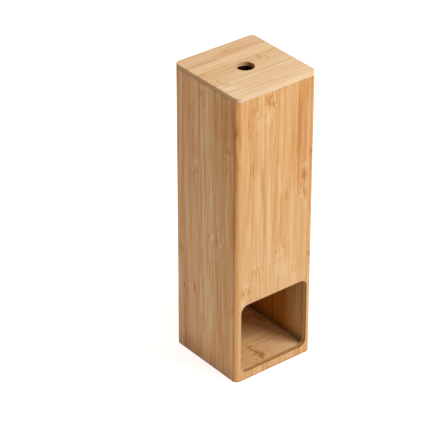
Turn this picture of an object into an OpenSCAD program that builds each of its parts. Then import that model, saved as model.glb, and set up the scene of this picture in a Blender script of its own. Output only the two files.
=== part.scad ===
// Roll tower: a tall square box of laminated bamboo boards that stands on a bathroom floor.
// Toilet rolls are stacked in it from above and taken out through the opening low in its front.
// Millimetres. +Z is up, the front looks along -Y, and the origin is the middle of the base.

/* [Box] */
// Width of the box from left to right
box_w = 140; // [110:1:220]
// Depth of the box from front to back
box_d = 140; // [110:1:220]
// Height of the box with its lid on
box_h = 465; // [260:1:800]
// Thickness of the four upright boards
board_t = 8; // [6:0.5:14]
// Radius of the four upright corners, seen from above
corner_r = 8; // [3:0.5:12]
// Thickness left on the front and back boards where they lap the ends of the side boards
lap_t = 6; // [3:0.5:7]
// Size of the bevel along the edges that the box stands on
foot_bevel = 1; // [0.2:0.1:2]

/* [Opening for the rolls] */
// Height of the opening, from the floor board up
opening_h = 115; // [60:1:150]
// How far each side of the opening stands in from the inner face of the side board
opening_inset = 1.5; // [0:0.5:25]
// Radius of the opening's corners
opening_r = 12; // [3:0.5:25]

/* [Floor board] */
// Thickness of the floor board
floor_t = 8; // [5:0.5:14]
// Height of the floor board's underside above the ground
floor_lift = 5; // [2:0.5:15]
// How deep the floor board sits in the grooves of the side and back boards
groove_depth = 3; // [1:0.5:4]

/* [Lid] */
// Thickness of the lid board
lid_t = 7; // [5:0.5:14]
// Radius of the rounding along the lid's top edges
lid_edge_r = 1.5; // [0.5:0.1:2.5]
// Diameter of the finger hole in the middle of the lid
hole_d = 26; // [16:1:45]
// Size of the bevel round both mouths of the finger hole
hole_bevel = 0.8; // [0.2:0.1:2]
// Width of the two cleats under the lid
cleat_w = 10; // [6:0.5:16]
// Thickness of the cleats
cleat_t = 8; // [4:0.5:14]
// Size of the bevel along the cleats' lower edges, which guides the lid into the box
cleat_bevel = 1.5; // [0.3:0.1:2]
// Gap that lets the lid drop in, between each cleat and the wall beside it
lid_play = 0.5; // [0.2:0.1:1.5]

/* [Hidden] */
$fn = 64;

// Bamboo as the photograph shows it: light on the front and the lid's edge, deeper on the side
front_colour = "#e2af73";
side_colour = "#c99a66";
inner_colour = "#b98652";
lid_colour = "#e3bd92";

// Cuts run past the faces that they break through by this much
past = 1;

wall_h = box_h - lid_t;
lap_depth = board_t - lap_t;
inner_w = box_w - 2 * board_t;
inner_d = box_d - 2 * board_t;
floor_top = floor_lift + floor_t;
opening_w = inner_w - 2 * opening_inset;

// Upright rectangle w wide and h high, centred, with corners of radius r
module rounded_rectangle(w, h, r) {
    square([w - 2 * r, h], center = true);
    square([w, h - 2 * r], center = true);
    for (x = [-1, 1], y = [-1, 1])
        translate([x * (w / 2 - r), y * (h / 2 - r)])
            circle(r);
}

// Profile w wide and h high, standing on the axis, with its lower corners cut off at 45 degrees
module bevelled_foot(w, h, bevel) {
    polygon([
        [-w / 2, h], [-w / 2, bevel], [-w / 2 + bevel, 0],
        [w / 2 - bevel, 0], [w / 2, bevel], [w / 2, h]
    ]);
}

// Profile w wide and h high, standing on the axis, with its upper corners rounded to radius r
module rounded_top(w, h, r) {
    translate([-w / 2, 0])
        square([w, h - r]);
    translate([-w / 2 + r, 0])
        square([w - 2 * r, h]);
    for (x = [-1, 1])
        translate([x * (w / 2 - r), h - r])
            circle(r);
}

// A profile drawn in X and Z, run from front to back
module run_in_depth(d) {
    rotate([90, 0, 0])
        linear_extrude(d, center = true)
            children();
}

// A profile drawn in Y and Z, run from left to right
module run_in_width(w) {
    rotate([90, 0, 90])
        linear_extrude(w, center = true)
            children();
}

// A profile drawn from its axis outwards, turned round the centre of each upright corner
module turned_at_corners() {
    for (x = [-1, 1], y = [-1, 1])
        translate([x * (box_w / 2 - corner_r), y * (box_d / 2 - corner_r), 0])
            rotate_extrude()
                intersection() {
                    children();
                    translate([0, -past])
                        square([corner_r + past, box_h + 2 * past]);
                }
}

// Outside of the four boards together: round upright corners, bevelled along the ground
module case_outline() {
    run_in_depth(box_d - 2 * corner_r)
        bevelled_foot(box_w, wall_h, foot_bevel);
    run_in_width(box_w - 2 * corner_r)
        bevelled_foot(box_d, wall_h, foot_bevel);
    turned_at_corners()
        bevelled_foot(2 * corner_r, wall_h, foot_bevel);
}

// Front or back board, drawn as the front one: both ends are thinned to lap the side boards
module lapped_board() {
    intersection() {
        case_outline();
        union() {
            translate([-box_w / 2, -box_d / 2, 0])
                cube([box_w, lap_t, wall_h]);
            translate([-inner_w / 2, -box_d / 2, 0])
                cube([inner_w, board_t, wall_h]);
        }
    }
}

// The opening's outline run through the front board; it starts at the top of the floor board
module opening_cut() {
    translate([0, -box_d / 2 + board_t / 2, floor_top + opening_h / 2])
        run_in_depth(board_t + 2 * past)
            rounded_rectangle(opening_w, opening_h, opening_r);
}

module front_panel() {
    color(front_colour)
        difference() {
            lapped_board();
            opening_cut();
        }
}

// The back board has no opening, and a groove takes the back edge of the floor board
module back_panel() {
    color(front_colour)
        difference() {
            rotate([0, 0, 180])
                lapped_board();
            floor_solid();
        }
}

// A side board stands between the laps of the front and back boards, and is grooved for the floor
module side_panel(side) {
    color(side_colour)
        difference() {
            intersection() {
                case_outline();
                translate([side * (box_w - board_t) / 2, 0, wall_h / 2])
                    cube([board_t, box_d - 2 * lap_t, wall_h], center = true);
            }
            groove_run();
        }
}

module left_panel() {
    side_panel(-1);
}

module right_panel() {
    side_panel(1);
}

// The grooves of the two side boards run from end to end, so that the floor can slide in
module groove_run() {
    translate([0, 0, floor_lift + floor_t / 2])
        cube([inner_w + 2 * groove_depth, box_d, floor_t], center = true);
}

// The floor board butts against the front board and sits in the grooves on its three other sides
module floor_solid() {
    translate([-inner_w / 2 - groove_depth, -inner_d / 2, floor_lift])
        cube([inner_w + 2 * groove_depth, inner_d + min(groove_depth, lap_depth), floor_t]);
}

module floor_board() {
    color(inner_colour)
        floor_solid();
}

// Square board with rounded upright corners and top edges, and the finger hole in its middle
module lid_board() {
    color(lid_colour)
        translate([0, 0, wall_h])
            difference() {
                union() {
                    run_in_depth(box_d - 2 * corner_r)
                        rounded_top(box_w, lid_t, lid_edge_r);
                    run_in_width(box_w - 2 * corner_r)
                        rounded_top(box_d, lid_t, lid_edge_r);
                    turned_at_corners()
                        rounded_top(2 * corner_r, lid_t, lid_edge_r);
                }
                finger_hole();
            }
}

// Straight bore through the lid board, opened out by a bevel at each face
module finger_hole() {
    translate([0, 0, -past])
        cylinder(d = hole_d, h = lid_t + 2 * past);
    hole_mouth();
    translate([0, 0, lid_t])
        mirror([0, 0, 1])
            hole_mouth();
}

// The bevel at the lower mouth of the finger hole
module hole_mouth() {
    translate([0, 0, -past])
        cylinder(r1 = hole_d / 2 + hole_bevel + past, r2 = hole_d / 2, h = hole_bevel + past);
}

// The cleats are glued across the lid's grain, and drop inside the four boards with lid_play
module lid_cleat(side) {
    color(inner_colour)
        translate([side * (inner_w / 2 - lid_play - cleat_w / 2), 0, wall_h - cleat_t])
            intersection() {
                run_in_depth(inner_d - 2 * lid_play)
                    bevelled_foot(cleat_w, cleat_t, cleat_bevel);
                run_in_width(cleat_w)
                    bevelled_foot(inner_d - 2 * lid_play, cleat_t, cleat_bevel);
            }
}

module lid_cleat_left() {
    lid_cleat(-1);
}

module lid_cleat_right() {
    lid_cleat(1);
}

front_panel();
back_panel();
left_panel();
right_panel();
floor_board();
lid_board();
lid_cleat_left();
lid_cleat_right();
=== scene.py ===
import math
import bmesh
import bpy
import numpy as np
from mathutils import Matrix, Vector


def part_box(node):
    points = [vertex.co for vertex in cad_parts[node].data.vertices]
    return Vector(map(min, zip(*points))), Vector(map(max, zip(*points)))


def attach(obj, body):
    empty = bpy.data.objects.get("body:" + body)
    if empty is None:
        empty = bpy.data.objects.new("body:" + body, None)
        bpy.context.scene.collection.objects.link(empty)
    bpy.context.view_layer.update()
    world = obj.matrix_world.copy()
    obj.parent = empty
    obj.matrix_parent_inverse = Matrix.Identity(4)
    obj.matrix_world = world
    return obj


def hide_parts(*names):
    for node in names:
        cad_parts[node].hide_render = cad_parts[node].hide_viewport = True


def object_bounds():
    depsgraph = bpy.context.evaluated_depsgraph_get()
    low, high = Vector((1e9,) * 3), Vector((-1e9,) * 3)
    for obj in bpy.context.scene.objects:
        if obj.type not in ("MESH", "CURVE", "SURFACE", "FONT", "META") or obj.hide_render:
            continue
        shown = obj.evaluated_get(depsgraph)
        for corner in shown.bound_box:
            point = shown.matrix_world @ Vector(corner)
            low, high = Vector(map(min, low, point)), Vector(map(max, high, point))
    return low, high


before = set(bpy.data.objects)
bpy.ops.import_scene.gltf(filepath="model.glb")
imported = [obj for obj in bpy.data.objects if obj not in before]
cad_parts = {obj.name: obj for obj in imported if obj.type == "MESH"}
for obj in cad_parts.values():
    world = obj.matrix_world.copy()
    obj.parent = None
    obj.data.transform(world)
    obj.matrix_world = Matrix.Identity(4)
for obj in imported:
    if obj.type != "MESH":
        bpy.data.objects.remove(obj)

cad_low, cad_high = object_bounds()

# The camera
# It stands where the photograph was taken from: about 3.4 m away, to the left of the front and
# well above it, with a long lens. Pan and tilt bring the box to its place in the square picture.

camera_azimuth = math.radians(-39.172)
camera_elevation = math.radians(31.143)
camera_roll = math.radians(0.43)
camera_pan = math.radians(0.708)
camera_tilt = math.radians(-0.105)
camera_distance = 3.3673
camera_lens_mm = 197.7
sensor_mm = 36.0


def camera_matrix(target):
    """Camera to world: its back axis points from the target to the camera, then roll, pan and tilt."""
    back = Vector((
        math.sin(camera_azimuth) * math.cos(camera_elevation),
        -math.cos(camera_azimuth) * math.cos(camera_elevation),
        math.sin(camera_elevation),
    ))
    right = Vector((math.cos(camera_azimuth), math.sin(camera_azimuth), 0))
    turned = Matrix((right, back.cross(right), back)).transposed().to_4x4()
    turned = turned @ Matrix.Rotation(camera_roll, 4, "Z")
    turned = turned @ Matrix.Rotation(camera_pan, 4, "Y") @ Matrix.Rotation(camera_tilt, 4, "X")
    return Matrix.Translation(target + back * camera_distance) @ turned


lens = bpy.data.cameras.new("camera")
lens.lens = camera_lens_mm
lens.sensor_width = sensor_mm
camera = bpy.data.objects.new("camera", lens)
camera.matrix_world = camera_matrix((cad_low + cad_high) / 2)
bpy.context.scene.collection.objects.link(camera)
bpy.context.scene.camera = camera
bpy.context.scene.view_settings.view_transform = "Standard"


# The studio
# A white paper floor under an even white sky, with one softbox above and to the right of the
# front. To the camera the paper is close to white, with a soft shadow beside the box.

paper_colour = "#f4f3f1"
paper_size = 8.0
paper_glow = 0.68
sky_level = 0.40
softbox_power = 31.2
softbox_size = 0.88
softbox_place = Vector((0.81, -1.30, 1.70))


def linear(colour):
    """An sRGB hex colour as linear red, green and blue with alpha 1."""
    parts = np.array([int(colour[i:i + 2], 16) for i in (1, 3, 5)]) / 255
    low = parts / 12.92
    high = ((parts + 0.055) / 1.055) ** 2.4
    return (*np.where(parts <= 0.04045, low, high), 1.0)


def add(tree, kind, inputs=(), **settings):
    """Adds one shader node with its settings. Each input is a value, another node, which stands
    for its first output, or one of another node's outputs."""
    new = tree.nodes.new("ShaderNode" + kind)
    for name, value in settings.items():
        setattr(new, name, value)
    for name, value in dict(inputs).items():
        if isinstance(value, bpy.types.Node):
            value = value.outputs[0]
        if isinstance(value, bpy.types.NodeSocket):
            tree.links.new(value, new.inputs[name])
        else:
            new.inputs[name].default_value = value
    return new


def empty_material(name):
    """A material with nothing in its node tree yet."""
    material = bpy.data.materials.new(name)
    material.use_nodes = True
    material.node_tree.nodes.clear()
    return material


def paper_floor():
    """Matt white paper, with a little glow that only the camera and reflections see."""
    material = empty_material("studio_paper")
    tree = material.node_tree
    ray = add(tree, "LightPath").outputs
    direct = add(tree, "Math", {0: ray["Is Camera Ray"], 1: ray["Is Glossy Ray"]}, operation="MAXIMUM")
    level = add(tree, "Math", {0: direct, 1: paper_glow}, operation="MULTIPLY")
    matt = add(tree, "BsdfDiffuse", {"Color": linear(paper_colour)})
    glow = add(tree, "Emission", {"Strength": level})
    both = add(tree, "AddShader", {0: matt, 1: glow})
    add(tree, "OutputMaterial", {"Surface": both})
    half = paper_size / 2
    mesh = bpy.data.meshes.new("studio_floor")
    corners = [(-half, -half, 0), (half, -half, 0), (half, half, 0), (-half, half, 0)]
    mesh.from_pydata(corners, [], [(0, 1, 2, 3)])
    mesh.materials.append(material)
    floor = bpy.data.objects.new("studio_floor", mesh)
    bpy.context.scene.collection.objects.link(floor)


def white_sky():
    """White all round: at full strength where it is seen, and at sky_level where it lights."""
    world = bpy.data.worlds.new("studio_sky")
    world.use_nodes = True
    tree = world.node_tree
    tree.nodes.clear()
    ray = add(tree, "LightPath").outputs
    direct = add(tree, "Math", {0: ray["Is Camera Ray"], 1: ray["Is Glossy Ray"]}, operation="MAXIMUM")
    direct = add(tree, "Math", {0: direct, 1: ray["Is Transmission Ray"]}, operation="MAXIMUM")
    level = add(tree, "MapRange", {0: direct, 3: sky_level, 4: 1.0})
    shine = add(tree, "Background", {"Color": (1, 1, 1, 1), "Strength": level})
    add(tree, "OutputWorld", {"Surface": shine})
    bpy.context.scene.world = world


def softbox():
    """One square area lamp that looks at the middle of the box."""
    lamp = bpy.data.lights.new("softbox", "AREA")
    lamp.energy = softbox_power
    lamp.size = softbox_size
    holder = bpy.data.objects.new("softbox", lamp)
    aim = (cad_low + cad_high) / 2 - softbox_place
    holder.location = softbox_place
    holder.rotation_euler = aim.to_track_quat("-Z", "Y").to_euler()
    bpy.context.scene.collection.objects.link(holder)


paper_floor()
white_sky()
softbox()


# The front board
# An 8 mm board of laminated bamboo: strips about 20 mm wide, split from the culm, carbonised to
# honey brown, glued edge to edge, sanded and lacquered. Its ends lap the side boards, and the
# opening for the rolls is routed through it. The strips stand upright.

board_t = 0.008
lap_t = 0.006
box_half = float(cad_high.x)
wall_top = float(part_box("front_panel")[1].z)
upright_r = 0.008
upright_steps = 15
seam_r = 0.00015
inner_r = 0.0002
foot_r = 0.001
top_r = 0.0004

opening_w = 0.121
opening_h = 0.115
opening_low = 0.013
opening_r = 0.012
opening_front_r = 0.0009
opening_back_r = 0.0005

large_r = 0.002
large_steps = 12
small_steps = 5


def rounded_outline(corners, radii):
    """A closed outline. A corner with a radius becomes an arc tangent to its two sides, whose
    centre lies on the corner's bisector at radius / sin(half the corner's angle). A radius above
    large_r gives large_steps points, a smaller one small_steps, and radius 0 the corner itself."""
    corners = np.array(corners, float)
    radii = np.array(radii, float)
    before = np.roll(corners, 1, 0) - corners
    after = np.roll(corners, -1, 0) - corners
    before /= np.linalg.norm(before, axis=1)[:, None]
    after /= np.linalg.norm(after, axis=1)[:, None]
    half = np.arccos(np.clip((before * after).sum(1), -1, 1)) / 2
    middle = before + after
    middle /= np.maximum(np.linalg.norm(middle, axis=1), 1e-9)[:, None]
    side = after - before
    side /= np.linalg.norm(side, axis=1)[:, None]
    centre = corners + middle * (radii / np.sin(half))[:, None]
    count = np.where(radii == 0, 1, np.where(radii > large_r, large_steps, small_steps))
    corner = np.repeat(np.arange(len(corners)), count)
    step = np.arange(len(corner)) - np.repeat(np.cumsum(count) - count, count)
    share = 2 * step / np.maximum(count - 1, 1)[corner] - 1
    turn = (share * (math.pi / 2 - half[corner]))[:, None]
    away = side[corner] * np.sin(turn) - middle[corner] * np.cos(turn)
    return centre[corner] + radii[corner][:, None] * away


def rounded_run(start, end, start_r, end_r, steps=6):
    """Places from start to end, and how far an outline is drawn in at each. Near each end the
    two follow a quarter circle, so that the edge there is rounded; radius 0 leaves it square."""
    places, insets = [], []
    for face, way, r in ((start, 1, start_r), (end, -1, end_r)):
        turn = np.linspace(0, math.pi / 2, steps if r else 1)
        places.append((face + way * r * (1 - np.cos(turn)))[::way])
        insets.append((r * (1 - np.sin(turn)))[::way])
    return np.concatenate(places), np.concatenate(insets)


def ring_surface(name, rings, closed_ends):
    """A closed surface of four-sided faces through rings, an array of ring, point, xyz.
    closed_ends caps the first and last ring; without it the last ring joins the first."""
    count, size = rings.shape[:2]
    ring = np.arange(count - 1 if closed_ends else count)[:, None]
    point = np.arange(size)[None, :]
    next_ring = (ring + 1) % count
    next_point = (point + 1) % size
    faces = np.stack([
        ring * size + point, ring * size + next_point,
        next_ring * size + next_point, next_ring * size + point,
    ], -1).reshape(-1, 4).tolist()
    if closed_ends:
        faces.append(list(range(size))[::-1])
        faces.append(list(range((count - 1) * size, count * size)))
    mesh = bpy.data.meshes.new(name)
    mesh.from_pydata(rings.reshape(-1, 3).tolist(), [], faces)
    outward = bmesh.new()
    outward.from_mesh(mesh)
    bmesh.ops.recalc_face_normals(outward, faces=outward.faces)
    outward.to_mesh(mesh)
    outward.free()
    piece = bpy.data.objects.new(name, mesh)
    bpy.context.scene.collection.objects.link(piece)
    return piece


def carried_surface(name, outline_at, places, insets, order):
    """The outline carried straight through the places, drawn in by the inset of each. order
    gives the axes of the outline's two coordinates and of the places."""
    outlines = np.array([outline_at(inset) for inset in insets])
    rings = np.zeros((*outlines.shape[:2], 3))
    rings[:, :, order[:2]] = outlines
    rings[:, :, order[2]] = places[:, None]
    return ring_surface(name, rings, True)


def run_board(name, outline_at, start, end, start_r, end_r, order):
    """A board as an outline carried from start to end, with the edges at both ends rounded."""
    places, insets = rounded_run(start, end, start_r, end_r)
    return carried_surface(name, outline_at, places, insets, order)


def upright_corner(inset, start, end, steps):
    """Points from above on the rounded upright corner at the right of the front. The angles run
    from +X towards -Y. The centre of the arc stays put and its radius loses the inset."""
    turn = np.linspace(start, end, steps)
    centre = box_half - upright_r
    r = upright_r - inset
    return np.stack([centre + r * np.cos(turn), -centre - r * np.sin(turn)], 1)


def seam_angle(inset):
    """The angle on that corner at which the lap ends and the side board begins."""
    return math.asin((board_t - lap_t) / (upright_r - inset))


def lapped_outline(inset):
    """The front board from above: full thickness between the side boards, and at each end a lap
    that ends on the rounded upright corner. Only its outer faces are drawn in by the inset."""
    inner = box_half - board_t
    right = upright_corner(inset, math.pi / 2, seam_angle(inset), upright_steps)
    left = right[::-1] * (-1, 1)
    ends = [
        (inner, lap_t - box_half), (inner, board_t - box_half),
        (-inner, board_t - box_half), (-inner, lap_t - box_half),
    ]
    radii = [seam_r] + [0] * (2 * upright_steps - 2) + [seam_r] + [inner_r] * 4
    return rounded_outline(np.concatenate([left, right, ends]), radii)


def opening_outline(width):
    """The opening in the front board's own plane, X and Z, widened all round by the width."""
    half_w = opening_w / 2 + width
    low = opening_low - width
    high = opening_low + opening_h + width
    corners = [(-half_w, low), (half_w, low), (half_w, high), (-half_w, high)]
    return rounded_outline(corners, [opening_r + width] * 4)


def opening_tool():
    """The opening's outline carried through the board. Near each face it widens along a quarter
    circle, so that the cut leaves a rounded edge; the circle starts just outside the face."""
    outside = 0.00003
    beyond = 0.002
    front = -box_half
    back = front + board_t
    places, widths = rounded_run(front - outside, back + outside, opening_front_r, opening_back_r, 7)
    places = np.concatenate([[front - beyond], places, [back + beyond]])
    widths = np.concatenate([[opening_front_r], widths, [opening_back_r]])
    return carried_surface("opening_tool", opening_outline, places, widths, [0, 2, 1])


def cut_away(piece, tool):
    """Takes the tool's solid out of the piece for good, and deletes the tool."""
    cut = piece.modifiers.new("cut", "BOOLEAN")
    cut.operation = "DIFFERENCE"
    cut.solver = "EXACT"
    cut.object = tool
    bpy.context.view_layer.update()
    cut_piece = piece.evaluated_get(bpy.context.evaluated_depsgraph_get())
    result = bpy.data.meshes.new_from_object(cut_piece)
    piece.modifiers.clear()
    piece.data = result
    bpy.data.objects.remove(tool)


def bamboo(name, across, along, first_seam, strip_width, strips, marks, contrast, shades, inside,
           fade, corner=None, side_grey=0.0, end_tint="#ffffff", recess=None, plies=(), flecks=1.0,
           foot=None):
    """Laminated bamboo, sanded and clear lacquered: even satin, with straight fibre streaks.
    Lengths are in millimetres. A strip is its tone, how dark the glue line on its low side is,
    and up to three culm nodes, each a place along it and a strength. A mark is a place across
    and along, half a width, half a length, and how much darker it is. shades run from the
    darkest fibres to the palest. inside is the way that the unpolished face looks. fade is an
    axis, a near and a far place on it, and the tint of that face at each: the face's own tone,
    and where the far tint is darker, painted shade that deepens inside the box. corner is the
    place on an axis where that face meets another board, and how far from it the face darkens:
    a dark joint, and painted shade in the corner beside it. side_grey is how far the outer
    strips' narrow sides grey, and end_tint deepens the end grain. recess is an opening cut
    through the board: its middle and half its size, across and along, the tint of its sides,
    and the tint of the side that faces lit_way, whose length sets how sharply the tints change;
    in the finger hole these two tints are painted shade and painted light. plies are the lines
    between the layers, each a place in the thickness, how dark, half a width, and what shows it,
    the end grain or the cut. flecks is how strong the flecks at the nodes are. foot is the height
    up to which the board is darkened by painted shade near the ground, and the tint at the ground."""
    material = empty_material(name)
    tree = material.node_tree
    here = add(tree, "TexCoord").outputs
    mm = add(tree, "VectorMath", {0: here["Object"], "Scale": 1000.0}, operation="SCALE")
    xyz = add(tree, "SeparateXYZ", {0: mm}).outputs
    depth = ({"X", "Y", "Z"} - {across, along}).pop()
    u, v, w = xyz[across], xyz[depth], xyz[along]

    # which strip, and how far across it; each ramp below holds one value for every strip
    count = len(strips)
    steps = add(tree, "Math", {0: u, 1: 1 / strip_width, 2: -first_seam / strip_width},
                operation="MULTIPLY_ADD")
    strip = add(tree, "Math", {0: steps}, operation="FLOOR")
    seam = add(tree, "Math", {0: steps}, operation="ROUND")
    part = add(tree, "Math", {0: steps}, operation="FRACT")
    pick = add(tree, "Math", {0: strip, 1: 1 / count, 2: 0.5 / count}, operation="MULTIPLY_ADD")
    pick_seam = add(tree, "Math", {0: seam, 1: 1 / count, 2: 0.5 / count}, operation="MULTIPLY_ADD")
    tones = add(tree, "ValToRGB", {0: pick})
    seams = add(tree, "ValToRGB", {0: pick_seam})
    node_places = add(tree, "ValToRGB", {0: pick})
    node_strengths = add(tree, "ValToRGB", {0: pick})
    longest = 500.0
    for ramp in (tones, seams, node_places, node_strengths):
        ramp.color_ramp.interpolation = "CONSTANT"
        for i in range(1, count - 1):
            ramp.color_ramp.elements.new(i / count)
    for i, (tone, glue, nodes) in enumerate(strips):
        three = (list(nodes) + [(-longest, 0)] * 3)[:3]
        for ramp, colour in (
            (tones, linear(tone)),
            (seams, (glue, glue, glue, 1)),
            (node_places, (*[0.5 + place / longest / 2 for place, strength in three], 1)),
            (node_strengths, (*[strength for place, strength in three], 1)),
        ):
            ramp.color_ramp.elements[i].position = i / count
            ramp.color_ramp.elements[i].color = colour

    # distance along the grain to the strip's three culm nodes, whose line wavers by up to
    # 11 mm; a node's bar reaches 12 mm, and its influence on the fibres 42 mm
    waver_mm = 22.0
    run = add(tree, "CombineXYZ", {0: w, 1: w, 2: w})
    there = add(tree, "VectorMath", {0: node_places, 1: (2 * longest,) * 3, 2: (-longest,) * 3},
                operation="MULTIPLY_ADD")
    waver_at = add(tree, "CombineXYZ", {0: u, 1: strip})
    waver = add(tree, "TexNoise", {"Vector": waver_at, "Scale": 0.13, "Detail": 1.0})
    waver = add(tree, "Math", {0: waver, 1: waver_mm, 2: -waver_mm / 2}, operation="MULTIPLY_ADD")
    gap = add(tree, "VectorMath", {0: run, 1: there}, operation="SUBTRACT")
    gap = add(tree, "VectorMath", {0: gap, 1: waver}, operation="ADD")
    gap = add(tree, "VectorMath", {0: gap}, operation="ABSOLUTE")
    zones = []
    for full, gone in ((3.0, 12.0), (2.0, 42.0)):
        zone = add(tree, "MapRange", {
            "Vector": gap, 7: (full,) * 3, 8: (gone,) * 3, 9: (1, 1, 1), 10: (0, 0, 0),
        }, data_type="FLOAT_VECTOR", interpolation_type="SMOOTHSTEP").outputs[1]
        zone = add(tree, "VectorMath", {0: zone, 1: node_strengths}, operation="DOT_PRODUCT")
        zones.append(zone.outputs["Value"])
    bar, near = zones
    gaps = add(tree, "SeparateXYZ", {0: gap}).outputs
    away = add(tree, "Math", {0: gaps[0], 1: gaps[1]}, operation="MINIMUM")
    away = add(tree, "Math", {0: away, 1: gaps[2]}, operation="MINIMUM")

    # fibre streaks: bands 5 mm wide and finer, thirty-six times longer than wide, shuffled from
    # strip to strip, that sway near a node
    band_mm, streak_mm, sway_mm = 5.0, 180.0, 13.0
    place = add(tree, "CombineXYZ", {0: u, 1: v, 2: w})
    shuffle = add(tree, "VectorMath", {0: strip, 1: (13.7, 5.3, 171.0)}, operation="MULTIPLY")
    place = add(tree, "VectorMath", {0: place, 1: shuffle}, operation="ADD")
    sway_at = add(tree, "VectorMath", {0: place, 1: (1 / 9, 1 / 9, 1 / 15)}, operation="MULTIPLY")
    sway = add(tree, "TexNoise", {"Vector": sway_at, "Scale": 1.0, "Detail": 1.0})
    sway = add(tree, "Math", {0: sway, 1: 0.5}, operation="SUBTRACT")
    sway = add(tree, "Math", {0: sway, 1: near}, operation="MULTIPLY")
    sway = add(tree, "Math", {0: sway, 1: sway_mm}, operation="MULTIPLY")
    sway = add(tree, "CombineXYZ", {0: sway})
    streak_at = add(tree, "VectorMath", {0: place, 1: sway}, operation="ADD")
    streak_at = add(tree, "VectorMath", {0: streak_at, 1: (1 / band_mm, 1 / band_mm, 1 / streak_mm)},
                    operation="MULTIPLY")
    streaks = add(tree, "TexNoise", {
        "Vector": streak_at, "Scale": 1.0, "Detail": 4.0, "Roughness": 0.72, "Lacunarity": 2.3,
    })

    # arcs of fibre, 3 mm wide, that pass round a culm node in the middle of the strip
    middle = add(tree, "Math", {0: part, 1: strip_width, 2: -strip_width / 2}, operation="MULTIPLY_ADD")
    flat = add(tree, "Math", {0: away, 1: 0.3}, operation="MULTIPLY")
    arc = add(tree, "CombineXYZ", {0: middle, 1: flat})
    arc = add(tree, "VectorMath", {0: arc}, operation="LENGTH").outputs["Value"]
    arc_at = add(tree, "CombineXYZ", {0: arc, 1: strip, 2: w})
    arc_at = add(tree, "VectorMath", {0: arc_at, 1: (1 / 3, 3.1, 1 / 40)}, operation="MULTIPLY")
    arcs = add(tree, "TexNoise", {
        "Vector": arc_at, "Scale": 1.0, "Detail": 2.0, "Roughness": 0.6, "Lacunarity": 2.2,
    })
    swirl = add(tree, "Math", {0: near, 1: 0.45}, operation="MULTIPLY")
    fibres = add(tree, "Mix", {0: swirl, 2: streaks, 3: arcs}, data_type="FLOAT")
    fibres = add(tree, "Math", {0: fibres, 1: contrast, 2: 0.5 - contrast / 2}, operation="MULTIPLY_ADD")

    # dark flecks at a node, and soft patches round it, each with its width and length; few are light
    figure = fibres
    for width, length, mask, dark, light in ((1.7, 4.0, bar, 0.24, 0.1), (4.2, 11.0, near, 0.12, 0.1)):
        stroke_at = add(tree, "VectorMath", {0: place, 1: (1 / width, 1 / width, 1 / length)},
                        operation="MULTIPLY")
        stroke = add(tree, "TexNoise", {"Vector": stroke_at, "Scale": 1.0, "Detail": 2.0})
        stroke = add(tree, "MapRange", {
            0: stroke, 1: 0.36, 2: 0.6, 3: -dark * flecks, 4: light * flecks,
        }, interpolation_type="SMOOTHSTEP")
        stroke = add(tree, "Math", {0: stroke, 1: mask}, operation="MULTIPLY")
        figure = add(tree, "Math", {0: figure, 1: stroke}, operation="ADD")

    # marks of this board's own, soft ovals
    flat_place = add(tree, "CombineXYZ", {0: u, 1: w})
    for mark_u, mark_w, half_u, half_w, darker in marks:
        off = add(tree, "VectorMath", {
            0: flat_place, 1: (1 / half_u, 1 / half_w, 0), 2: (-mark_u / half_u, -mark_w / half_w, 0),
        }, operation="MULTIPLY_ADD")
        off = add(tree, "VectorMath", {0: off}, operation="LENGTH").outputs["Value"]
        mark = add(tree, "MapRange", {0: off, 1: 0.2, 2: 1.3, 3: darker, 4: 0.0},
                   interpolation_type="SMOOTHSTEP")
        figure = add(tree, "Math", {0: figure, 1: mark}, operation="SUBTRACT")

    # the figure's shade, times the strip's tone
    shade = add(tree, "ValToRGB", {0: figure})
    for place_on_ramp, colour in zip((0.22, 0.38, 0.5, 0.62, 0.8), shades):
        stop = shade.color_ramp.elements.new(place_on_ramp)
        stop.color = linear(colour)
    shade.color_ramp.elements.remove(shade.color_ramp.elements[0])
    shade.color_ramp.elements.remove(shade.color_ramp.elements[-1])
    colour = add(tree, "Mix", {0: 1.0, 6: shade, 7: tones},
                 data_type="RGBA", blend_type="MULTIPLY").outputs[2]

    # painted shade near the ground: the board darkens towards its foot
    if foot:
        painted_ground_shade_height, painted_ground_shade_tint = foot
        low = add(tree, "MapRange", {0: w, 1: 0.0, 2: painted_ground_shade_height, 3: 1.0, 4: 0.0},
                  interpolation_type="SMOOTHSTEP")
        colour = add(tree, "Mix", {0: low, 6: colour, 7: linear(painted_ground_shade_tint)},
                     data_type="RGBA", blend_type="MULTIPLY").outputs[2]

    # glue lines between the strips, which fade out within half a millimetre on both sides
    edge = add(tree, "Math", {0: steps, 1: seam}, operation="SUBTRACT")
    edge = add(tree, "Math", {0: edge}, operation="ABSOLUTE")
    glue = add(tree, "MapRange", {0: edge, 1: 0.0, 2: 0.5 / strip_width, 3: 1.0, 4: 0.0})
    glue = add(tree, "Math", {0: glue, 1: seams}, operation="MULTIPLY")
    colour = add(tree, "Mix", {0: glue, 6: colour, 7: linear("#80502a")}, data_type="RGBA").outputs[2]
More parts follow.
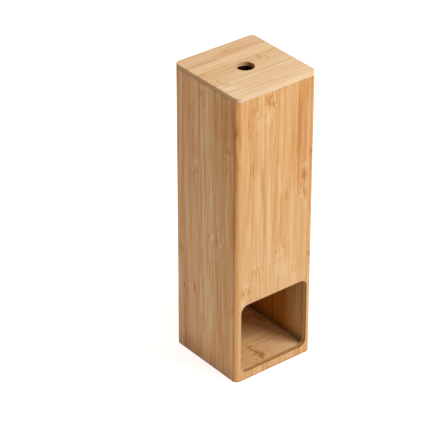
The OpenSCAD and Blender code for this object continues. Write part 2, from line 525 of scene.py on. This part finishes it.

    # where an opening is cut through the board, and which of its sides faces the given way, that of the
    # light; in the finger hole the two tints are painted shade and painted light
    normal = add(tree, "SeparateXYZ", {0: here["Normal"]}).outputs
    facing = [add(tree, "Math", {0: normal[axis]}, operation="ABSOLUTE") for axis in (across, along, depth)]
    beyond, cut = 1.0, 0.0
    if recess:
        (middle_u, middle_w), (half_u, half_w) = recess["middle"], recess["half"]
        off = add(tree, "VectorMath", {
            0: flat_place, 1: (1 / half_u, 1 / half_w, 0), 2: (-middle_u / half_u, -middle_w / half_w, 0),
        }, operation="MULTIPLY_ADD")
        off = add(tree, "VectorMath", {0: off}, operation="ABSOLUTE")
        off = add(tree, "SeparateXYZ", {0: off}).outputs
        off = add(tree, "Math", {0: off[0], 1: off[1]}, operation="MAXIMUM")
        beyond = add(tree, "Math", {0: off, 1: 1.0}, operation="GREATER_THAN")
        upright = add(tree, "MapRange", {0: facing[2], 1: 0.3, 2: 0.8, 3: 1.0, 4: 0.0})
        cut = add(tree, "Math", {0: 1.0, 1: beyond}, operation="SUBTRACT")
        cut = add(tree, "Math", {0: cut, 1: upright}, operation="MULTIPLY")
        lit = add(tree, "VectorMath", {0: here["Normal"], 1: recess["lit_way"]}, operation="DOT_PRODUCT")
        lit = add(tree, "MapRange", {0: lit.outputs["Value"], 1: 0.0, 2: 1.0})
        tint = add(tree, "Mix", {0: lit, 6: linear(recess["tint"]), 7: linear(recess["lit_tint"])},
                   data_type="RGBA").outputs[2]
        colour = add(tree, "Mix", {0: cut, 6: colour, 7: tint},
                     data_type="RGBA", blend_type="MULTIPLY").outputs[2]

    # the narrow sides of the outermost strips are greyer than their faces
    sideways = add(tree, "MapRange", {0: facing[0], 1: 0.5, 2: 0.95, 3: 0.0, 4: side_grey})
    sideways = add(tree, "Math", {0: sideways, 1: beyond}, operation="MULTIPLY")
    colour = add(tree, "Mix", {0: sideways, 6: colour, 7: linear("#bcc2c4")}, data_type="RGBA").outputs[2]

    # end grain drinks the lacquer and is darker, with a dot for each cut fibre bundle, a little
    # under a millimetre apart, and dark lines between the layers
    end = add(tree, "MapRange", {0: facing[1], 1: 0.6, 2: 0.95, 3: 0.0, 4: 1.0})
    end = add(tree, "Math", {0: end, 1: beyond}, operation="MULTIPLY")
    colour = add(tree, "Mix", {0: end, 6: colour, 7: linear(end_tint)},
                 data_type="RGBA", blend_type="MULTIPLY").outputs[2]
    bare = add(tree, "Math", {0: end, 1: cut}, operation="MAXIMUM")
    bundle = add(tree, "TexVoronoi", {"Vector": mm, "Scale": 1.15})
    dark = add(tree, "MapRange", {0: bundle, 1: 0.15, 2: 0.4, 3: 0.25, 4: 0.0})
    dark = add(tree, "Math", {0: dark, 1: bare}, operation="MULTIPLY")
    for ply_place, ply_dark, half_line, shown_by in plies:
        off = add(tree, "Math", {0: v, 1: ply_place}, operation="SUBTRACT")
        off = add(tree, "Math", {0: off}, operation="ABSOLUTE")
        line = add(tree, "MapRange", {0: off, 1: 0.2, 2: half_line, 3: ply_dark, 4: 0.0})
        line = add(tree, "Math", {0: line, 1: {"end": end, "cut": cut}[shown_by]}, operation="MULTIPLY")
        dark = add(tree, "Math", {0: dark, 1: line}, operation="MAXIMUM")
    colour = add(tree, "Mix", {0: dark, 6: colour, 7: linear("#5e3d22")}, data_type="RGBA").outputs[2]

    # the unpolished face inside the box, in its own tint, with painted shade that deepens towards the far
    # place
    hidden = add(tree, "VectorMath", {0: here["Normal"], 1: inside}, operation="DOT_PRODUCT")
    hidden = add(tree, "MapRange", {0: hidden.outputs["Value"], 1: 0.5, 2: 0.9, 3: 0.0, 4: 1.0})
    axis, near_place, far_place, near_tint, far_tint = fade
    far = add(tree, "MapRange", {0: xyz[axis], 1: near_place, 2: far_place})
    inside_tint_and_shade = add(tree, "Mix", {0: far, 6: linear(near_tint), 7: linear(far_tint)}, data_type="RGBA")
    colour = add(tree, "Mix", {0: hidden, 6: colour, 7: inside_tint_and_shade.outputs[2]},
                 data_type="RGBA", blend_type="MULTIPLY").outputs[2]
    # a dark joint where the inside face meets another board, and painted shade in the corner beside it
    if corner:
        axis, corner_place, reach = corner
        off = add(tree, "Math", {0: xyz[axis], 1: corner_place}, operation="SUBTRACT")
        off = add(tree, "Math", {0: off}, operation="ABSOLUTE")
        painted_corner_shade = add(tree, "MapRange", {0: off, 1: 0.5, 2: reach, 3: 0.45, 4: 0.0},
                   interpolation_type="SMOOTHSTEP")
        painted_corner_shade = add(tree, "Math", {0: painted_corner_shade, 1: hidden}, operation="MULTIPLY")
        colour = add(tree, "Mix", {0: painted_corner_shade, 6: colour, 7: linear("#4a2c14")}, data_type="RGBA").outputs[2]

    # lacquer thin enough to show the fibres as a faint relief, and duller over the dark ones
    relief = add(tree, "Bump", {"Strength": 0.25, "Distance": 0.00008, "Height": fibres})
    satin = add(tree, "MapRange", {0: figure, 1: 0.2, 2: 0.8, 3: 0.52, 4: 0.4})
    shader = add(tree, "BsdfPrincipled", {
        "Base Color": colour, "Roughness": satin, "IOR": 1.5, "Normal": relief,
    })
    add(tree, "OutputMaterial", {"Surface": shader})
    return material


def dress(piece, material, body, slot, *nodes):
    """Gives a finished piece its material, soft shading over its rounded edges, and its place
    in the model."""
    piece.data.materials.clear()
    piece.data.materials.append(material)
    piece.data.shade_smooth()
    piece.data.set_sharp_from_angle(angle=math.radians(40))
    even = piece.modifiers.new("even_shading", "WEIGHTED_NORMAL")
    even.keep_sharp = True
    even.weight = 100
    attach(piece, body)
    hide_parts(*nodes)


honey = ["#b06c1e", "#d39546", "#e3b075", "#edc590", "#f5dab2"]
front_strips = [
    ("#fff0d8", 0.2, ((352, 0.3), (120, 0.3))),
    ("#f4efe4", 0.4, ((153, 0.45), (420, 0.3))),
    ("#f6f2ea", 0.3, ((178, 0.4), (425, 0.4))),
    ("#f6f2eb", 0.2, ((443, 0.65),)),
    ("#f5f1e8", 0.2, ((190, 0.4),)),
    ("#f5f1e8", 0.2, ((158, 0.3),)),
    ("#f1e6d5", 0.4, ((278, 0.45),)),
    ("#f2e6d4", 0.4, ((338, 0.35), (174, 0.35))),
]
front_marks = [
    # broad tones
    (0, 470, 110, 140, 0.025), (0, 150, 110, 130, -0.04), (0, 290, 60, 110, 0.02),
    (38, 140, 26, 22, -0.06), (-57, 400, 5, 160, -0.04), (54, 340, 5, 110, 0.04),
    (-16.5, 370, 5, 100, -0.07), (-33, 290, 6, 50, -0.1), (29, 240, 5, 85, -0.09),
    (-12, 250, 4, 110, -0.07), (-47, 300, 5, 60, 0.05), (-27, 250, 5, 55, 0.05),
    (4, 325, 5, 20, -0.07), (4, 225, 5, 25, 0.07),
    # patches round the culm nodes
    (-12, 443, 13, 10, 0.07), (-14, 418, 7, 14, -0.08), (10, 440, 5, 10, -0.06),
    (-41, 436, 5, 12, 0.08), (-33, 420, 7, 16, -0.06), (62, 340, 2.5, 9, 0.13),
    (51, 306, 7, 9, 0.12), (51, 322, 6, 6, -0.1), (46, 272, 4, 5, -0.16), (53, 258, 4, 9, -0.1),
    (10, 192, 8, 9, -0.1), (14, 165, 16, 16, -0.08), (-38, 176, 5, 5, 0.09), (63, 173, 2, 8, 0.13),
    (-60, 150, 5, 8, 0.1), (-52, 160, 6, 10, -0.1), (-48, 148, 4, 7, 0.08), (-58, 132, 6, 6, -0.08),
    # long lines
    (-50, 415, 3, 30, 0.06), (41, 385, 4.5, 75, 0.13), (41, 300, 3, 40, 0.08), (54, 440, 4, 20, 0.08),
    (-24, 315, 3, 42, 0.13), (-42, 347, 2.2, 15, 0.13), (-49.5, 300, 1.0, 60, 0.1),
    (8.5, 300, 3.2, 18, -0.13), (19, 285, 1.4, 12, 0.14), (-20, 230, 2, 60, 0.05),
    # the rounded corner at the left: darker along its outer edge, and painted highlights where it is
    # lighter
    (-70, 230, 1.5, 500, 0.12), (-64.5, 415, 1.6, 50, 0.1), (-69, 410, 1.3, 8, 0.16),
    (-67.4, 441, 1.5, 14, -0.12), (-67.3, 393, 1.6, 18, -0.14), (-65, 372, 3, 22, -0.07),
    (-68, 300, 1.4, 30, -0.04), (-67.5, 120, 1.6, 150, 0.05), (-64, 40, 2.2, 60, -0.12),
    # the foot: painted shade along the rounded bottom edge, and a short dark line at a seam
    (0, 0, 300, 2.4, 0.3), (-41.5, 6, 0.6, 9, 0.14),
]
front_board = run_board("front_board", lapped_outline, 0.0, wall_top, foot_r, top_r, [0, 1, 2])
cut_away(front_board, opening_tool())
front_bamboo = bamboo(
    "carbonised_bamboo_front", "X", "Z", first_seam=-81.8, strip_width=20.2, strips=front_strips,
    marks=front_marks, contrast=0.72, shades=honey, inside=(0, 1, 0),
    # inside, painted shade that deepens upwards
    fade=("Z", 130, 300, "#e4e0d8", "#d0ccc4"), end_tint="#e2d0ba",
    recess={"middle": (0, 70), "half": (62, 62), "tint": "#ffffff", "lit_tint": "#eaebf0",
            "lit_way": (0, 0, 1)},
    plies=[(-68.2, 0.48, 1.8, "cut")],
)
dress(front_board, front_bamboo, "case", "bamboo_front", "front_panel")


# The back board
# The same lapped board without the opening. A shallow groove along its foot takes the back edge
# of the floor board.

floor_low = 0.005
floor_top = 0.013
floor_half = 0.065
back_reach = 0.064
back_groove_start = 0.05


def groove_tool(start, end):
    """The floor board's square-edged section, in X and Z, carried along Y from start to end."""
    corners = np.array([
        (-floor_half, floor_low), (floor_half, floor_low),
        (floor_half, floor_top), (-floor_half, floor_top),
    ])
    return run_board("groove_tool", lambda inset: corners, start, end, 0, 0, [0, 2, 1])


def mirrored_outline(inset):
    """The front board's outline turned half round."""
    return -lapped_outline(inset)


back_strips = [
    ("#f6ead8", 0.2, ((210, 0.5),)),
    ("#faf4e8", 0.4, ((95, 0.6), (400, 0.5))),
    ("#f2e6d4", 0.3, ((300, 0.7),)),
    ("#fbf7ef", 0.5, ((160, 0.5),)),
    ("#f5ecdd", 0.2, ((360, 0.7), (40, 0.4))),
    ("#fbf6ec", 0.3, ((240, 0.5),)),
    ("#efe0cb", 0.4, ((120, 0.5), (430, 0.5))),
    ("#f6ecdc", 0.2, ((280, 0.5),)),
]
back_marks = [
    (-40, 250, 4, 70, 0.08), (15, 330, 4, 60, 0.08), (30, 130, 5, 60, -0.08),
    # the mark at 0, 0 is painted shade along the bottom edge
    (-15, 210, 6, 80, -0.07), (0, 0, 300, 2.4, 0.3),
]
back_board = run_board("back_board", mirrored_outline, 0.0, wall_top, foot_r, top_r, [0, 1, 2])
cut_away(back_board, groove_tool(back_groove_start, back_reach))
back_bamboo = bamboo(
    "carbonised_bamboo_back", "X", "Z", first_seam=-78.0, strip_width=20.2, strips=back_strips,
    marks=back_marks, contrast=0.74, shades=honey, inside=(0, -1, 0),
    # inside, painted shade that deepens upwards and in the corner by the floor
    fade=("Z", 0, 150, "#fff8c4", "#d8d0b0"), corner=("Z", 13, 4), end_tint="#e2d0ba",
)
dress(back_board, back_bamboo, "case", "bamboo_front", "back_panel")


# The side boards
# Two plain boards that stand between the laps of the front and back ones. Both are grooved from
# end to end for the floor board, which slides in before the box is closed.

side_reach = box_half - lap_t
side_top_r = 0.0008
side_steps = 4
side_groove_half = 0.08


def side_outline_at(side):
    """The right board from above, or the left one when side is -1: flat inside, and outside a
    short stretch of each rounded upright corner up to the seam."""
    def outline(inset):
        low = upright_corner(inset, seam_angle(inset), 0, side_steps)
        high = low[::-1] * (1, -1)
        inner = box_half - board_t
        ends = [(inner, side_reach), (inner, -side_reach)]
        radii = [seam_r] + [0] * (2 * side_steps - 2) + [seam_r] + [inner_r] * 2
        return rounded_outline(np.concatenate([low, high, ends]), radii) * (side, 1)
    return outline


left_strips = [
    ("#f6e4d2", 0.3, ((118, 0.4),)),
    ("#f5e3cb", 0.3, ((365, 0.3),)),
    ("#f7e8d4", 0.4, ((218, 0.5),)),
    ("#fffaf4", 1.0, ((222, 0.5),)),
    ("#fffbf4", 0.3, ((440, 0.4), (72, 0.3))),
    ("#fef1e7", 0.4, ((308, 0.45),)),
    ("#fcebe2", 0.5, ((102, 0.3),)),
    ("#fdefe8", 0.4, ((170, 0.5),)),
]
left_marks = [
    # broad tones
    (-48, 370, 13, 100, 0.04), (-40, 420, 14, 55, 0.06), (-55, 430, 5, 30, 0.06), (-22, 425, 9, 55, 0.08),
    (13, 420, 10, 75, 0.08), (50, 350, 15, 110, -0.05), (-29, 350, 4, 110, 0.06), (15, 320, 9, 60, 0.04),
    (-4, 300, 3, 160, -0.05), (15, 260, 5, 40, -0.07), (10, 200, 5, 50, -0.05), (25, 190, 9, 90, -0.08),
    (1, 160, 6, 110, -0.05), (-5, 135, 7, 22, -0.1), (-42, 110, 10, 50, -0.07), (-5, 95, 9, 50, -0.05),
    (60, 55, 9, 60, 0.07), (30, 25, 5, 20, 0.07), (-29, 28, 4, 20, 0.07),
    # patches round the culm nodes
    (7, 443, 5, 7, 0.08), (-52, 376, 9, 4, 0.08), (-51, 367, 10, 4, -0.08), (22, 328, 6, 7, -0.1),
    (22, 314, 8, 5, 0.07), (-14, 222, 6, 10, -0.13), (-33, 218, 5, 6, -0.13), (54, 170, 4, 9, 0.09),
    (-60, 120, 3, 9, 0.12), (26, 118, 2, 11, 0.26), (50, 110, 2.5, 6, 0.24),
    # long lines
    (-24.5, 400, 3, 80, 0.14), (-24.5, 230, 1.6, 22, 0.18), (-23.8, 230, 1.0, 400, 0.1),
    (-31, 410, 1.5, 22, -0.1), (31, 370, 1.5, 38, -0.12), (51.5, 300, 2, 160, 0.07),
    # beside the lap of the front board
    (-63.6, 232, 1.5, 330, 0.2), (-61.5, 425, 3.4, 62, 0.22), (-62, 270, 2.8, 50, 0.16),
    # the foot: painted shade along the bottom edge and over the lowest few centimetres
    (0, 0, 300, 2.6, 0.34), (38, 5, 34, 30, 0.1),
]
left_board = run_board("left_board", side_outline_at(-1), 0.0, wall_top, foot_r, side_top_r, [0, 1, 2])
cut_away(left_board, groove_tool(-side_groove_half, side_groove_half))
left_bamboo = bamboo(
    "carbonised_bamboo_left", "Y", "Z", first_seam=-80.3, strip_width=19.1, strips=left_strips,
    marks=left_marks, contrast=1.07, shades=honey, inside=(1, 0, 0),
    # inside, painted shade that deepens towards the back and in the corner by the floor; outside, painted
    # shade near the ground
    fade=("Y", -55, 0, "#f8f6f2", "#d0ccc4"), corner=("Z", 13, 4), end_tint="#e2d0ba",
    foot=(36, "#e4e0da"),
)
dress(left_board, left_bamboo, "case", "bamboo_side", "left_panel")

right_strips = [
    ("#f6e8dc", 0.3, ((150, 0.4),)),
    ("#f9eee8", 0.4, ((330, 0.5),)),
    ("#faf0e8", 0.3, ((240, 0.5),)),
    ("#f4e0c6", 0.6, ((390, 0.5),)),
    ("#f0d8b6", 0.5, ((180, 0.5),)),
    ("#f4e2ca", 0.5, ((280, 0.5),)),
    ("#f7e8d8", 0.4, ((290, 0.6),)),
    ("#f4e2d0", 0.3, ((420, 0.5), (110, 0.5))),
    ("#f6e6d8", 0.3, ((220, 0.5),)),
]
right_marks = [
    (-20, 300, 4, 70, 0.08), (35, 200, 4, 60, 0.08), (10, 380, 5, 60, -0.08), (-45, 180, 6, 60, -0.06),
    # the mark at 0, 0 is painted shade along the bottom edge
    (0, 0, 300, 2.4, 0.3), (8, 40, 2, 60, 0.12), (-34, 70, 2, 40, 0.06), (-50, 60, 1.5, 40, -0.06),
]
right_board = run_board("right_board", side_outline_at(1), 0.0, wall_top, foot_r, side_top_r, [0, 1, 2])
cut_away(right_board, groove_tool(-side_groove_half, side_groove_half))
right_bamboo = bamboo(
    "carbonised_bamboo_right", "Y", "Z", first_seam=-79.3, strip_width=17.6, strips=right_strips,
    marks=right_marks, contrast=0.95, shades=honey, inside=(-1, 0, 0),
    # inside, painted shade that deepens towards the back and in the corner by the floor; outside, painted
    # shade near the ground
    fade=("Y", -42, -18, "#e9f2f8", "#dacb88"), corner=("Z", 13, 17), end_tint="#e2d0ba",
    foot=(36, "#d8d4d0"),
)
dress(right_board, right_bamboo, "case", "bamboo_side", "right_panel")


# The floor board
# The rolls stand on it. It sits in the grooves of the side and back boards and butts against the
# front one. Its strips are a little paler than those of the walls, and run from left to right.

floor_front = -0.062


def floor_outline(inset):
    """The floor board from its end, in Y and Z, with its long edges eased."""
    corners = [
        (floor_front, floor_low), (back_reach, floor_low),
        (back_reach, floor_top), (floor_front, floor_top),
    ]
    return rounded_outline(corners, [inner_r] * 4)


sand = ["#b88a54", "#e2b984", "#f2d3a6", "#f9e2c0", "#fcf1de"]
floor_strips = [
    ("#fbe8d2", 0.3, ((-9, 0.35),)),
    ("#fae4cc", 0.4, ((-8, 0.3), (52, 0.3))),
    ("#fae5cc", 0.4, ((30, 0.2),)),
    ("#f3e0c8", 0.3, ((50, 0.3),)),
    ("#f6e6d0", 0.3, ((-30, 0.3),)),
    ("#f2dec6", 0.3, ((20, 0.3),)),
    ("#f5e4d0", 0.3, ((-55, 0.3),)),
]
floor_marks = [
    # broad tones, and painted shade well back by the right wall
    (-38, -40, 34, 28, 0.05), (-42, -8, 13, 12, 0.07), (-50, 36, 14, 26, -0.06), (28, 53, 16, 7, 0.2),
    # the culm node that crosses the two front strips
    (-53, -9, 6, 2.2, 0.2), (-26, -9, 6, 2, 0.2), (-40, -8, 5, 1.5, 0.14), (-22.3, -6.5, 1.7, 5, 0.26),
    (-20, -10.5, 2.2, 2.4, 0.16), (-32, -8.5, 4, 2.6, 0.08), (-39, -7.5, 4, 4, 0.12),
    (-48.3, -5, 6, 5.5, 0.24), (-58, -9, 4, 3, 0.18),
    # a dark line at the right
    (-22.5, 42, 2, 14, 0.16),
]
floor_board = run_board("floor_board_piece", floor_outline, -floor_half, floor_half, 0, 0, [1, 2, 0])
floor_bamboo = bamboo(
    "carbonised_bamboo_floor", "Y", "X", first_seam=-64.0, strip_width=20.2, strips=floor_strips,
    marks=floor_marks, contrast=0.52, shades=sand, inside=(0, 0, 1),
    # painted shade that deepens towards the back and by the right wall
    fade=("Y", -30, 30, "#ffffff", "#fffcf0"), corner=("X", 62, 8), end_tint="#c4a484",
)
dress(floor_board, floor_bamboo, "case", "bamboo_floor", "floor_board")


# The lid board
# A loose square board, a little paler, with its strips from left to right. Its upright corners
# follow the box, its top edges are rounded over, and a finger hole is drilled through its middle.

lid_top = float(cad_high.z)
lid_edge_r = 0.0011
lid_foot_r = 0.0004
lid_side_points = 15
hole_r = 0.013
hole_edge_r = 0.0008


def lid_outline(inset):
    """The lid from above, drawn in by the inset: one side and the corner at its end, turned
    about the middle four times. Points along the sides keep the hole round."""
    half = box_half - inset
    along = np.linspace(-1, 1, lid_side_points + 2)[1:-1] * (box_half - upright_r)
    along = np.append(along, half)
    quarter = np.stack([along, np.full_like(along, -half)], 1)
    quarter_turn = np.array([(0, 1), (-1, 0)])
    turned = [quarter @ np.linalg.matrix_power(quarter_turn, turns) for turns in range(4)]
    return rounded_outline(np.concatenate(turned), ([0] * lid_side_points + [upright_r - inset]) * 4)


def lid_rings():
    """The lid's section carried round it as one closed loop: up the outside, over the rounded
    top edge, across the top, down the hole and back below. Each point of the outline has its
    partner on the hole in the same direction from the middle."""
    heights, insets = rounded_run(wall_top, lid_top, lid_foot_r, lid_edge_r)
    outside = [lid_outline(inset) for inset in insets]
    hole_heights, widths = rounded_run(wall_top, lid_top, hole_edge_r, hole_edge_r)
    direction = lid_outline(0)
    direction /= np.linalg.norm(direction, axis=1)[:, None]
    hole = [direction * (hole_r + width) for width in widths]
    plans = np.array(outside + hole[::-1])
    heights = np.concatenate([heights, hole_heights[::-1]])
    upright = np.broadcast_to(heights[:, None, None], (*plans.shape[:2], 1))
    return np.concatenate([plans, upright], 2)


cream = ["#b37e48", "#dfae70", "#f1cb9a", "#fbe0b7", "#fdf3df"]
lid_strips = [
    ("#fdfaf6", 0.1, ((30, 0.2),)),
    ("#fcf8f8", 0.2, ((-55, 0.5),)),
    ("#f6efe4", 0.2, ((-56, 0.6),)),
    ("#f3e8da", 0.2, ((42, 0.5),)),
    ("#fdf9f3", 0.2, ((-20, 0.2),)),
    ("#f6e9df", 0.3, ((5, 0.3),)),
    ("#f6e9df", 0.2, ((40, 0.2),)),
]
lid_marks = [
    # the culm node to the right of the hole
    (14, 35, 1.3, 8, 0.16), (7, 41, 6, 1.6, 0.16), (-1, 40, 4, 1.5, 0.1), (8, 31, 6, 7, 0.1),
    # the left end, with another culm node
    (-12, -57, 8, 2, 0.12), (-21, -57, 2, 4, 0.1), (-6, -50, 1.6, 6, 0.12), (-14, -45, 5, 1.6, 0.08),
    (-38, -57, 6, 9, -0.12), (15, -63, 5, 8, 0.08),
    # darker lines near the back and front edges
    (51, 6, 2.2, 9, 0.08), (48, 10, 5, 45, 0.05), (55, 0, 2, 50, 0.05), (-55, 0, 5, 60, 0.03),
]
lid_piece = ring_surface("lid_piece", lid_rings(), False)
lid_bamboo = bamboo(
    "natural_bamboo_lid", "Y", "X", first_seam=-63.0, strip_width=20.2, strips=lid_strips,
    marks=lid_marks, contrast=0.56, shades=cream, inside=(0, 0, -1),
    fade=("Z", 0, 500, "#e8dccc", "#e8dccc"), side_grey=0.18, end_tint="#e8d4bc",
    # the finger hole's walls: painted shade, lighter on the side that faces the light
    recess={"middle": (0, 0), "half": (20, 20), "tint": "#bea486", "lit_tint": "#ffffff",
            "lit_way": (0.52, -1.52, 0)},
    plies=[(461.4, 0.75, 0.6, "end"), (458.7, 0.75, 0.8, "end")], flecks=0.5,
)
dress(lid_piece, lid_bamboo, "lid", "bamboo_lid", "lid_board")


# The cleats
# Two planed bamboo bars glued under the lid, across its grain, which keep it flat and hold it
# in place on the box. Their lower edges are bevelled so that the lid drops in easily.

cleat_bevel = 0.0015
cleat_end_r = 0.001


def cleat_outline_at(low, high):
    """A cleat from its end, in X and Z: square above, where it is glued, and bevelled below. The
    bevel narrows by half the inset."""
    def outline(inset):
        left, right, foot = low.x + inset, high.x - inset, low.z + inset
        cut = cleat_bevel - inset * 0.5
        corners = [
            (left, foot + cut), (left + cut, foot), (right - cut, foot), (right, foot + cut),
            (right, high.z), (left, high.z),
        ]
        return rounded_outline(corners, [inner_r] * 4 + [0, 0])
    return outline


cleat_strips = [("#f0dcc2", 0.2, ((10, 0.6),)), ("#ecd6ba", 0.2, ((-30, 0.6),))]
cleat_bamboo = bamboo(
    "planed_bamboo_cleat", "X", "Y", first_seam=-80.0, strip_width=80.0, strips=cleat_strips,
    marks=[], contrast=0.64, shades=honey, inside=(0, 0, -1),
    fade=("Z", 0, 500, "#f0dcc0", "#f0dcc0"), end_tint="#c4a484",
)
for hand in ("left", "right"):
    cleat_low, cleat_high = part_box("lid_cleat_" + hand)
    cleat = run_board("cleat_" + hand, cleat_outline_at(cleat_low, cleat_high), cleat_low.y, cleat_high.y,
                      cleat_end_r, cleat_end_r, [0, 2, 1])
    dress(cleat, cleat_bamboo, "lid", "bamboo_cleat", "lid_cleat_" + hand)
